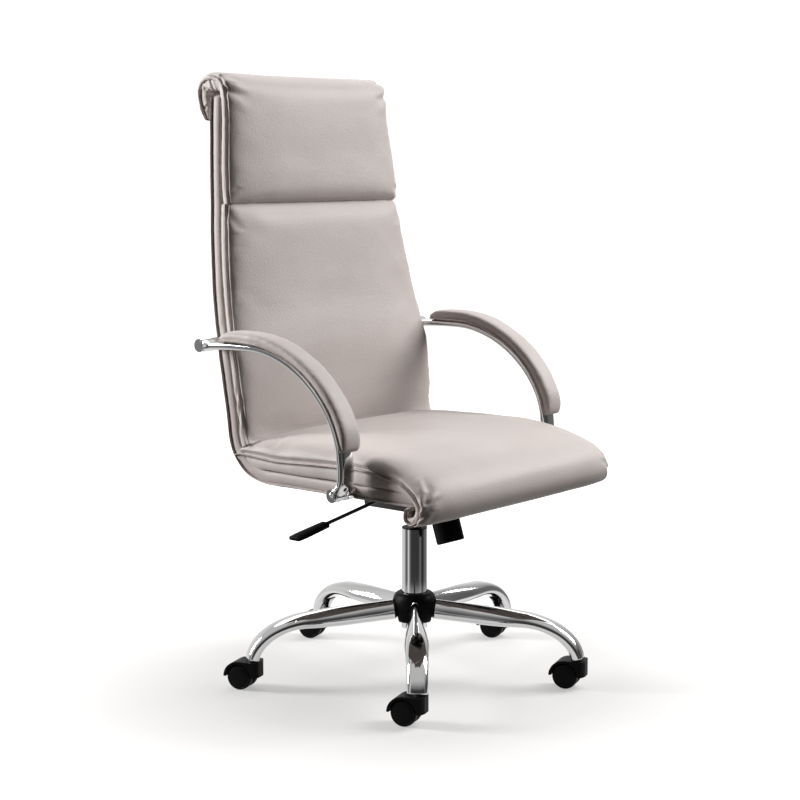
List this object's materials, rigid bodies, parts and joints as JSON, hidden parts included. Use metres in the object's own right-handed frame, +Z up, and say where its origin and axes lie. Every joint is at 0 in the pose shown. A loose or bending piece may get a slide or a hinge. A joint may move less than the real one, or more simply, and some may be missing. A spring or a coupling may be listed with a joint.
{
  "type": "executive swivel armchair",
  "caption": "High-back swivel armchair with padded shell, rolled head and seat edges, loop arms, gas column, tilt mechanism and a star base on casters.",
  "frame": {"origin": "on the floor, on the axis of the gas column", "axes": "+Z up; the sitter faces -Y, so -X is the sitter's right, where the lever is"},
  "size_m": [0.7009, 0.7041, 1.177],
  "materials": {
    "chrome": "polished",
    "bare_steel": "satin",
    "cylinder_steel": "gloss",
    "spring_steel": "satin",
    "black_plastic": "satin",
    "wheel_plastic": "satin",
    "black_paint": "satin",
    "bush_plastic": "satin",
    "plywood": "matte",
    "leatherette_border": "satin",
    "leatherette": "satin"
  },
  "bodies": {
    "base": {"leg_1": "chrome", "leg_2": "chrome", "leg_3": "chrome", "leg_4": "chrome", "leg_5": "chrome", "leg_sockets": "bare_steel", "hub_sleeve": "bare_steel", "hub_cover": "black_plastic", "column_tube": "chrome", "guide_bush": "black_plastic", "thrust_bearing": "bare_steel"},
    "rod": {"piston_rod": "bare_steel", "rod_clip": "bare_steel"},
    "lift": {"gas_cylinder": "cylinder_steel", "mech_housing": "black_paint", "pivot_pin": "bare_steel", "tension_spring": "spring_steel"},
    "release_pin": {"release_pin": "bare_steel"},
    "lever_bush": {"lever_bush": "bush_plastic"},
    "lever": {"lever_rod": "black_paint", "lever_paddle": "black_plastic"},
    "seat": {"seat_bracket": "black_paint", "seat_screws": "bare_steel", "shell_board": "plywood", "shell_cover": "leatherette_border", "seat_pad": "leatherette", "back_pad": "leatherette", "head_pad": "leatherette", "arm_frame_left": "chrome", "arm_frame_right": "chrome", "arm_pad_left": "leatherette", "arm_pad_right": "leatherette", "arm_caps_left": "chrome", "arm_caps_right": "chrome", "arm_bolts_left": "bare_steel", "arm_bolts_right": "bare_steel"},
    "knob": {"tension_knob": "black_plastic", "tension_bolt": "bare_steel"},
    "caster_1": {"caster_hood_1": "black_plastic", "caster_stem_1": "bare_steel", "caster_axle_1": "bare_steel"},
    "wheels_1": {"caster_wheels_1": "wheel_plastic"},
    "caster_2": {"caster_hood_2": "black_plastic", "caster_stem_2": "bare_steel", "caster_axle_2": "bare_steel"},
    "wheels_2": {"caster_wheels_2": "wheel_plastic"},
    "caster_3": {"caster_hood_3": "black_plastic", "caster_stem_3": "bare_steel", "caster_axle_3": "bare_steel"},
    "wheels_3": {"caster_wheels_3": "wheel_plastic"},
    "caster_4": {"caster_hood_4": "black_plastic", "caster_stem_4": "bare_steel", "caster_axle_4": "bare_steel"},
    "wheels_4": {"caster_wheels_4": "wheel_plastic"},
    "caster_5": {"caster_hood_5": "black_plastic", "caster_stem_5": "bare_steel", "caster_axle_5": "bare_steel"},
    "wheels_5": {"caster_wheels_5": "wheel_plastic"}
  },
  "joints": [
    {"name": "seat_swivel", "type": "hinge", "parent": "base", "child": "rod", "pos_m": [0, 0, 0.2], "axis": [0, 0, 1], "continuous": true},
    {"name": "seat_height", "type": "slide", "parent": "rod", "child": "lift", "axis": [0, 0, 1], "range_m": [0, 0.1]},
    {"name": "tilt", "type": "hinge", "parent": "lift", "child": "seat", "pos_m": [0, 0.04, 0.388], "axis": [-1, 0, 0], "range_deg": [0, 14], "stiffness_Nm_per_rad": 150, "springref_deg": -14.32, "deforming": ["tension_spring"]},
    {"name": "lever_lift", "type": "hinge", "parent": "lift", "child": "lever_bush", "pos_m": [-0.045, 0, 0.3776], "axis": [0, 1, 0], "range_deg": [0, 5], "stiffness_Nm_per_rad": 0.8, "springref_deg": -14.32},
    {"name": "tilt_lock", "type": "slide", "parent": "lever_bush", "child": "lever", "axis": [-0.9882, 0, -0.153], "range_m": [0, 0.012]},
    {"name": "pin_press", "type": "slide", "parent": "lift", "child": "release_pin", "axis": [0, 0, -1], "range_m": [0, 0.0045]},
    {"name": "knob_turn", "type": "hinge", "parent": "seat", "child": "knob", "pos_m": [0, -0.0521, 0.4015], "axis": [0, 0.309, 0.9511], "range_deg": [0, 1440]},
    {"name": "caster_swivel_1", "type": "hinge", "parent": "base", "child": "caster_1", "pos_m": [0.32998, 0.02597, 0.06], "axis": [0, 0, 1], "continuous": true},
    {"name": "wheel_spin_1", "type": "hinge", "parent": "caster_1", "child": "wheels_1", "pos_m": [0.32351, 0.04637, 0.025], "axis": [-0.9532, -0.3024, 0], "continuous": true},
    {"name": "caster_swivel_2", "type": "hinge", "parent": "base", "child": "caster_2", "pos_m": [0.07727, 0.32185, 0.06], "axis": [0, 0, 1], "continuous": true},
    {"name": "wheel_spin_2", "type": "hinge", "parent": "caster_2", "child": "wheels_2", "pos_m": [0.0708, 0.34225, 0.025], "axis": [-0.9532, -0.3024, 0], "continuous": true},
    {"name": "caster_swivel_3", "type": "hinge", "parent": "base", "child": "caster_3", "pos_m": [-0.28222, 0.17295, 0.06], "axis": [0, 0, 1], "continuous": true},
    {"name": "wheel_spin_3", "type": "hinge", "parent": "caster_3", "child": "wheels_3", "pos_m": [-0.28869, 0.19334, 0.025], "axis": [-0.9532, -0.3024, 0], "continuous": true},
    {"name": "caster_swivel_4", "type": "hinge", "parent": "base", "child": "caster_4", "pos_m": [-0.25169, -0.21497, 0.06], "axis": [0, 0, 1], "continuous": true},
    {"name": "wheel_spin_4", "type": "hinge", "parent": "caster_4", "child": "wheels_4", "pos_m": [-0.25816, -0.19457, 0.025], "axis": [-0.9532, -0.3024, 0], "continuous": true},
    {"name": "caster_swivel_5", "type": "hinge", "parent": "base", "child": "caster_5", "pos_m": [0.12667, -0.3058, 0.06], "axis": [0, 0, 1], "continuous": true},
    {"name": "wheel_spin_5", "type": "hinge", "parent": "caster_5", "child": "wheels_5", "pos_m": [0.1202, -0.28541, 0.025], "axis": [-0.9532, -0.3024, 0], "continuous": true}
  ],
  "couplings": [
    {"joint": "pin_press", "follows": "lever_lift", "m_per_rad": 0.0453}
  ]
}
